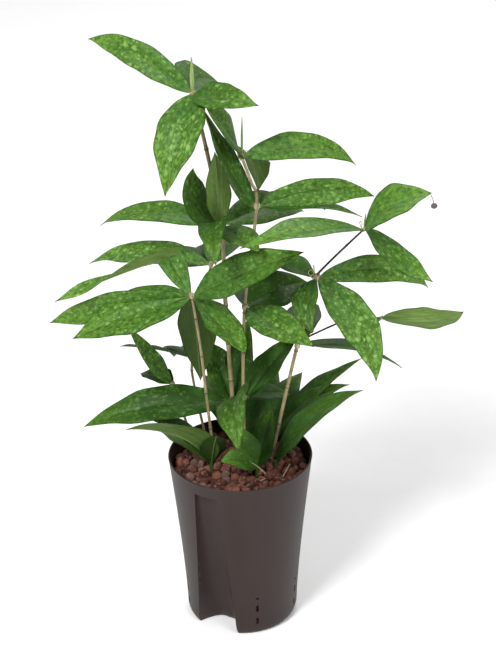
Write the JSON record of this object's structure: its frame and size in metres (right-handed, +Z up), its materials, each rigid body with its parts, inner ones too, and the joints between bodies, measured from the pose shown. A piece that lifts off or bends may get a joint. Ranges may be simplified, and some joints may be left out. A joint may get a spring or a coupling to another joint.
{
  "type": "potted gold dust dracaena",
  "caption": "Bushy houseplant of upright leafy canes with spotted oval leaves, standing in a tall flared culture pot filled with baked clay granules.",
  "frame": {"origin": "centre of the pot's flat foot, on the floor it stands on", "axes": "+Z up; -Y is the side that the picture shows; +X is to the right of the picture"},
  "size_m": [0.4194, 0.2292, 0.6358],
  "materials": {
    "brown_grey_plastic": "satin moulded plastic",
    "baked_clay": "rough porous baked clay",
    "tan_cane": "smooth ringed stem",
    "brown_branch": "smooth dark stem",
    "leaf_green": "glossy living leaf with pale spots"
  },
  "bodies": {
    "root": {"branch_side": "brown_branch", "branch_upper": "brown_branch", "cane_back_left": "tan_cane", "cane_front": "tan_cane", "cane_left": "tan_cane", "cane_right": "tan_cane", "cane_short": "tan_cane", "cane_tall": "tan_cane", "clay_granules": "baked_clay", "culture_pot": "brown_grey_plastic", "shoot_back": "leaf_green", "shoot_front": "leaf_green", "shoot_left": "leaf_green", "shoot_right": "leaf_green", "shoot_right_back": "leaf_green", "whorl_back_left_middle": "leaf_green", "whorl_back_left_top": "leaf_green", "whorl_branch_side": "leaf_green", "whorl_branch_upper": "leaf_green", "whorl_front_low": "leaf_green", "whorl_front_middle": "leaf_green", "whorl_front_top": "leaf_green", "whorl_front_upper": "leaf_green", "whorl_left_top": "leaf_green", "whorl_right_middle": "leaf_green", "whorl_right_top": "leaf_green", "whorl_short_top": "leaf_green", "whorl_tall_low": "leaf_green", "whorl_tall_middle": "leaf_green", "whorl_tall_top": "leaf_green"}
  },
  "joints": []
}
